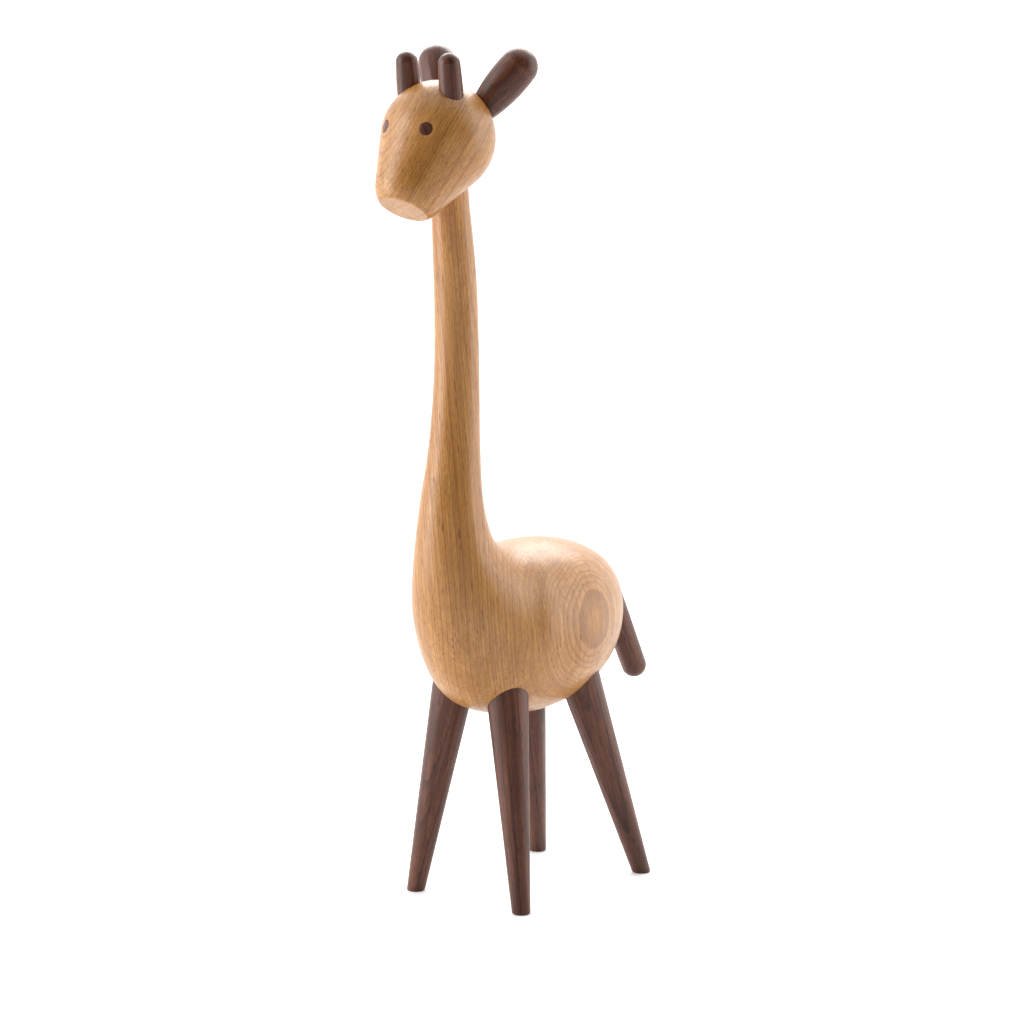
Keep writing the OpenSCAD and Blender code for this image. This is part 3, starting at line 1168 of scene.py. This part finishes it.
@dataclass
class HeadParts:
    """The turned head, with the ears, horns and eye plugs that are set in it."""

    crown_d: float = 51.6 * MM
    crown_forward: float = 8.7 * MM
    crown_rise: float = 33.5 * MM
    muzzle_d: float = 33 * MM
    face: float = 27 * MM
    tilt: float = math.radians(41.8)
    nose: float = 38.5 * MM
    nose_tilt: float = math.radians(10)
    nose_edge: float = 0.9 * MM
    ear_root_d: float = 13.2 * MM
    ear_swell: float = 4.4 * MM
    ear_length: float = 31.8 * MM
    ear_widest: float = 0.57
    ear_depth: float = 9 * MM
    ear_seat: tuple[float, float] = (math.radians(33), math.radians(31.5))
    ear_way: tuple[float, float] = (math.radians(51.5), math.radians(49.5))
    horn_root_d: float = 10.6 * MM
    horn_tip_d: float = 9.9 * MM
    horn_length: float = 12.6 * MM
    horn_gap: float = 24.6 * MM
    horn_forward: float = 6 * MM
    horn_depth: float = 10 * MM
    eye_d: float = 6 * MM
    eye_turn: float = math.radians(29.7)
    eye_drop: float = 10.5 * MM
    eye_depth: float = 5 * MM
    eye_dome: float = 0.12 * MM
    eye_edge: float = 0.25 * MM
    eye_rings: tuple[float, ...] = (0.985, 0.94, 0.85, 0.7, 0.5, 0.3, 0.12)
    past_skin: float = 30 * MM
    bore_over: float = 0.3 * MM
    count: int = 160
    round_count: int = 64

    def __post_init__(self) -> None:
        """Reads the crown's place from the frame, over the joint that the head turns on."""
        collar = Vector(joint_named("head_turn")["pos_m"])
        self.crown = collar + Vector((0, -self.crown_forward, self.crown_rise))
        self.crown_r = self.crown_d / 2
        self.taper = math.asin((self.crown_r - self.muzzle_d / 2) / self.face)

    def frame_of_head(self) -> Matrix:
        """The head's own frame, with -Z down the face."""
        return Matrix.Translation(self.crown) @ Matrix.Rotation(-self.tilt, 4, "X")

    def frame_of_ear(self, side: Side) -> Matrix:
        """Finds an ear's own frame, with +Z out along the ear and the origin at its seat.

        Args:
            side: The ear's side.

        Returns:
            The frame's place.
        """
        turn, rise = self.ear_seat
        seat = self.crown_r * Vector(
            (
                side.value * math.sin(turn) * math.cos(rise),
                math.cos(turn) * math.cos(rise),
                math.sin(rise),
            )
        )
        around = Matrix.Rotation(math.pi / 2 - side.value * self.ear_way[0], 4, "Z")
        out = Matrix.Rotation(math.pi / 2 - self.ear_way[1], 4, "Y")
        return Matrix.Translation(self.crown + seat) @ around @ out

    def frame_of_horn(self, side: Side) -> Matrix:
        """Finds a horn's own frame, with +Z along it and the origin level with the crown.

        Args:
            side: The horn's side.

        Returns:
            The frame's place.
        """
        axis = Vector(joint_named("head_turn")["axis"])
        lean = Matrix.Rotation(math.atan2(-axis.y, axis.z), 4, "X")
        across = side.value * self.horn_gap / 2
        seat = self.crown + Vector((across, -self.horn_forward, self.crown_r))
        return Matrix.Translation(seat) @ lean

    def frame_of_eye(self, side: Side) -> Matrix:
        """Finds an eye plug's own frame, with +Z out of the face and +Y up it.

        Args:
            side: The plug's side.

        Returns:
            The frame's place.
        """
        drop = self.eye_drop - self.crown_r * math.sin(self.taper)
        out = self.crown_r * math.cos(self.taper) - drop * math.tan(self.taper)
        around = Matrix.Rotation(side.value * self.eye_turn, 4, "Z")
        tilt = Matrix.Rotation(math.pi / 2 + self.taper, 4, "X")
        shift = Matrix.Translation((0, -out, -self.eye_drop))
        return self.frame_of_head() @ around @ shift @ tilt

    def ear_outline(self, gap: float, tip: bool) -> Outline:
        """The outline of an ear: a barrel from its inner end, and a round tip.

        Args:
            gap: How much wider than the ear the outline is.
            tip: Whether it goes on to the tip, or stops where the ear is widest.

        Returns:
            The outline, from the inner end.
        """
        widest = self.ear_widest * self.ear_length
        barrel = (widest**2 + (self.ear_swell / 2) ** 2) / self.ear_swell
        back = barrel - (self.ear_root_d + self.ear_swell) / 2
        short = barrel - (self.ear_length - widest)
        above = (back**2 - short**2) / (2 * short)
        turn = math.atan2(above, back)
        low = math.asin((-self.ear_depth - widest) / (barrel + gap))
        side = arc(widest, barrel + gap, low, turn if tip else 0, 30)
        outline = [(0, -self.ear_depth)] + [(r - back, z) for r, z in side]
        if tip:
            middle = widest + above
            outline += arc(middle, self.ear_length - middle, turn, math.pi / 2, 30)
        return outline

    def horn_seat(self) -> float:
        """How far below the crown's top a horn's middle meets the crown."""
        return self.crown_r - math.sqrt(self.crown_r**2 - (self.horn_gap / 2) ** 2)

    def ear(self, side: Side) -> bpy.types.Object:
        """Makes an ear."""
        outline = spaced(self.ear_outline(0, tip=True), 1.2 * MM)
        return turned(f"ear_{side.word}", outline, self.frame_of_ear(side))

    def horn(self, side: Side) -> bpy.types.Object:
        """Makes a horn, a bar with a domed end.

        Args:
            side: The horn's side.

        Returns:
            The new object.
        """
        low = -self.horn_seat() - self.horn_depth
        root = self.horn_root_d / 2
        tip = self.horn_tip_d / 2
        outline = [(0, low), (root, low), (root, 0)]
        outline += arc(self.horn_length - tip, tip, 0, math.pi / 2, 28)
        return turned(f"horn_{side.word}", spaced(outline, 1.2 * MM), self.frame_of_horn(side))

    def eye(self, side: Side) -> bpy.types.Object:
        """Makes an eye plug, whose end follows the face and swells a little.

        Args:
            side: The plug's side.

        Returns:
            The new object.
        """
        radius = self.eye_d / 2
        bend = self.crown_r - self.eye_drop * math.tan(self.taper) / 2
        crown_from = (self.eye_drop - self.crown_r * math.sin(self.taper)) / math.cos(self.taper)

        def lifted(point: Vector, shares: float) -> Vector:
            """Sets a point of the end on the face, and swells it towards the middle.

            Args:
                point: The point on a flat end.
                shares: Its distance from the middle, as a share of the radius.

            Returns:
                The point on the curved end.
            """
            over = max(0.0, point.y - crown_from)
            fall = point.x**2 / (2 * bend) + over**2 / (2 * self.crown_r)
            swell = self.eye_dome * (1 - shares**2)
            return Vector((point.x, point.y, swell - fall))

        rim = Vector((0, 0, self.eye_edge))
        rings = [ring_of(radius, -self.eye_depth, self.round_count)]
        rings += [[lifted(p, 1.0) - rim for p in ring_of(radius, 0, self.round_count)]]
        for share in self.eye_rings:
            dip = self.eye_edge * max(0.0, (share - 0.85) / 0.15) ** 2
            ring = [lifted(p, share) for p in ring_of(radius * share, 0, self.round_count)]
            rings += [[p - Vector((0, 0, dip * 0.6)) for p in ring]]
        base = Vector((0, 0, -self.eye_depth))
        tip = Vector((0, 0, self.eye_dome))
        return closed_skin(f"eye_{side.word}", rings, base, tip, self.frame_of_eye(side))

    def head(self, body: Body) -> bpy.types.Object:
        """Makes the head, with its bore and the seats of what is set in it.

        Args:
            body: The body, on whose round end the head turns.

        Returns:
            The new object.
        """
        outline = arc(0, self.crown_r, math.pi / 2, -self.taper, 120)
        outline += arc(-self.face, self.muzzle_d / 2, -self.taper, -math.pi / 2, 60)
        outline = spaced(outline, 0.8 * MM)
        down = Matrix.Rotation(self.nose_tilt, 3, "X") @ Vector((0, 0, -1))
        cut = FlatCut(down * self.nose, down, self.nose_edge, rings=120, flat_rings=14)
        place = self.frame_of_head()
        piece = cut.turned("turned_head", outline[1:], self.crown_r, place, self.count)
        cutters = [self.bore(body)]
        far = self.past_skin
        for side in Side:
            hole = self.ear_outline(SEAT_GAP, tip=False)
            hole += [(hole[-1][0], far), (0, far)]
            cutters.append(turned("seat_of_ear", hole, self.frame_of_ear(side)))
            for name, d, depth, place in (
                ("horn", self.horn_root_d, self.horn_seat() + self.horn_depth,
                 self.frame_of_horn(side)),
                ("eye", self.eye_d, self.eye_depth, self.frame_of_eye(side)),
            ):
                r = d / 2 + SEAT_GAP
                hole = [(0, -depth), (r, -depth), (r, far), (0, far)]
                cutters.append(turned(f"seat_of_{name}", hole, place, self.round_count))
        cut_seats(piece, cutters)
        return piece

    def bore(self, body: Body) -> bpy.types.Object:
        """Makes the solid of the bore that turns on the neck's round end.

        Args:
            body: The body, whose round end it fits.

        Returns:
            The new object.
        """
        r = body.neck_top_d / 2 - body.shoulder + SEAT_GAP
        top = body.spigot_length + self.bore_over
        low = -self.past_skin
        turn = body.axis.to_track_quat("Z", "Y").to_matrix().to_4x4()
        place = Matrix.Translation(body.collar) @ turn
        return turned("bore", [(0, low), (r, low), (r, top), (0, top)], place, 96)


# The studio


@dataclass
class Studio:
    """A pale floor, soft light from both sides and above, and the camera.

    Attributes:
        azimuth: The camera's turn round the figure from straight in front, in degrees.
        elevation: Its height above the level, in degrees.
        distance: How far it stands from the point that it looks at.
        aim: The point that it looks at.
        lens: Its focal length in millimetres, on a 36 mm sensor.
        floor_radius: The floor disc's radius.
        dim_front: How bright the room is behind the camera.
        bright_sides: How bright it is beside and behind the figure.
        bright_below: How bright it is below the level.
    """

    azimuth: float = 38.86
    elevation: float = 9.93
    distance: float = 1.69
    aim: Vector = field(default_factory=lambda: Vector((0.0156, -0.0263, 0.1844)))
    lens: float = 129.7
    floor_radius: float = 1.2
    dim_front: float = 0.0
    bright_sides: float = 1.5
    bright_below: float = 0.85

    def towards(self, azimuth: float, elevation: float) -> Vector:
        """Finds the direction from the figure to a place.

        Args:
            azimuth: The place's turn round the figure from straight in front, in degrees.
            elevation: Its height above the level, in degrees.

        Returns:
            The direction, one unit long.
        """
        a = math.radians(azimuth)
        e = math.radians(elevation)
        return Vector((math.sin(a) * math.cos(e), -math.cos(a) * math.cos(e), math.sin(e)))

    def camera(self) -> None:
        """Makes the camera and makes it the scene's own."""
        data = bpy.data.cameras.new("camera")
        data.lens = self.lens
        data.sensor_width = 36.0
        data.clip_start = 0.05
        data.clip_end = 60.0
        camera = bpy.data.objects.new("camera", data)
        back = self.towards(self.azimuth, self.elevation)
        camera.location = self.aim + back * self.distance
        camera.rotation_euler = (-back).to_track_quat("-Z", "Y").to_euler()
        bpy.context.scene.collection.objects.link(camera)
        bpy.context.scene.camera = camera

    def light(
        self, name: str, azimuth: float, elevation: float, far: float, size: Sequence[float],
        power: float
    ) -> None:
        """Hangs one soft light, turned to the figure.

        Args:
            name: The light's name.
            azimuth: Its turn round the figure from straight in front, in degrees.
            elevation: Its height above the level, in degrees.
            far: Its distance from the figure.
            size: Its width and height.
            power: Its power in watts.
        """
        data = bpy.data.lights.new(name, "AREA")
        data.shape = "RECTANGLE"
        data.size = size[0]
        data.size_y = size[1]
        data.energy = power
        lamp = bpy.data.objects.new(name, data)
        back = self.towards(azimuth, elevation)
        lamp.location = Vector((0, 0, 0.2)) + back * far
        lamp.rotation_euler = (-back).to_track_quat("-Z", "Y").to_euler()
        bpy.context.scene.collection.objects.link(lamp)

    def floor(self) -> None:
        """Lays the pale floor, a thin disc that the figure stands on."""
        bm = bmesh.new()
        bmesh.ops.create_circle(bm, cap_ends=True, segments=96, radius=self.floor_radius)
        mesh = bpy.data.meshes.new("floor")
        bm.to_mesh(mesh)
        bm.free()
        floor = bpy.data.objects.new("floor", mesh)
        material = bpy.data.materials.new("pale_floor")
        material.use_nodes = True
        bench = Bench(material.node_tree)
        shader = material.node_tree.nodes["Principled BSDF"]
        where = bench.node("ShaderNodeTexCoord").outputs["Object"]
        cloud = bench.noise(bench.scaled(where, 0.3, 0.3), 3.0)
        tint = bench.mix(cloud, (0.78, 0.78, 0.78, 1), (0.84, 0.84, 0.84, 1))
        bench.feed(shader.inputs["Base Color"], tint)
        seen = bench.tree.nodes.new("ShaderNodeLightPath").outputs["Is Camera Ray"]
        shader.inputs["Emission Color"].default_value = (1, 1, 1, 1)
        bench.feed(shader.inputs["Emission Strength"], bench.sum("MULTIPLY", seen, 0.3))
        shader.inputs["Roughness"].default_value = 0.7
        far = bench.tree.nodes.new("ShaderNodeVectorMath")
        far.operation = "LENGTH"
        bench.feed(far.inputs[0], where)
        solid = bench.ramp(far.outputs["Value"], self.floor_radius * 0.2, self.floor_radius, 1, 0)
        bench.feed(shader.inputs["Alpha"], solid)
        mesh.materials.append(material)
        bpy.context.scene.collection.objects.link(floor)

    def surroundings(self) -> None:
        """Makes the white room: bright behind and beside the figure, dim behind the camera."""
        world = bpy.data.worlds.new("room")
        world.use_nodes = True
        tree = world.node_tree
        bench = Bench(tree)
        sky = bench.node("ShaderNodeTexCoord").outputs["Generated"]
        facing = tree.nodes.new("ShaderNodeVectorMath")
        facing.operation = "DOT_PRODUCT"
        bench.feed(facing.inputs[0], sky)
        bench.feed(facing.inputs[1], self.towards(self.azimuth, 0))
        around = bench.ramp(
            facing.outputs["Value"], 0.4, 0.05, self.dim_front, self.bright_sides
        )
        height = bench.node("ShaderNodeSeparateXYZ", Vector=sky).outputs[2]
        below = bench.ramp(height, 0.02, -0.05, 0.0, self.bright_below)
        seen = tree.nodes.new("ShaderNodeLightPath").outputs["Is Camera Ray"]
        strength = bench.sum("MAXIMUM", bench.sum("MAXIMUM", around, below), seen)
        background = tree.nodes["Background"]
        background.inputs["Color"].default_value = (1, 1, 1, 1)
        bench.feed(background.inputs["Strength"], strength)
        bpy.context.scene.world = world

    def build(self) -> None:
        """Sets up the whole studio."""
        self.camera()
        self.floor()
        self.surroundings()
        side = self.azimuth
        self.light("left_softbox", side - 79, 14, 1.3, (0.8, 1.3), 13.0)
        self.light("right_softbox", side + 92, 14, 1.3, (0.8, 1.3), 5.0)
        self.light("overhead_softbox", side + 172, 42, 1.5, (1.6, 0.8), 22.0)
        bpy.context.scene.view_settings.view_transform = "Standard"


def main() -> None:
    """Builds the studio and then the figure, piece by piece."""
    logging.basicConfig(level=logging.INFO, format="%(name)s: %(message)s")
    Studio().build()
    effects = WoodEffects()
    body, legs, tail, parts = Body(), Legs(), Tail(), HeadParts()

    oak_body = body.make(legs, tail)
    dress(oak_body, OAK, Billet(pith=(0.1422, 0.029), lean=(0, 6)), effects)
    fitted(oak_body, FIGURE, "body")

    for number, (rank, side) in enumerate((rank, side) for rank in Rank for side in Side):
        leg = legs.make(side, rank, body.shift)
        billet = Billet(pith=(0.021 + 0.004 * number, -0.013), seed=0.31 * number)
        dress(leg, WALNUT, billet, effects)
        fitted(leg, FIGURE, f"{rank.value}_{side.word}_leg")

    bar = tail.make()
    dress(bar, WALNUT, Billet(pith=(0.018, 0.012), seed=1.7), effects)
    fitted(bar, FIGURE, "tail")

    head = parts.head(body)
    dress(head, OAK, Billet(pith=(-0.035, -0.075), seed=0.8), effects)
    fitted(head, HEAD_GROUP, "head")
    for number, side in enumerate(Side):
        for word, piece in (
            ("ear", parts.ear(side)),
            ("horn", parts.horn(side)),
            ("eye", parts.eye(side)),
        ):
            billet = Billet(pith=(0.016, 0.02 + 0.006 * number), seed=0.9 + 0.41 * number)
            dress(piece, WALNUT, billet, effects)
            fitted(piece, HEAD_GROUP, f"{side.word}_{word}")


if __name__ == "__main__":
    main()
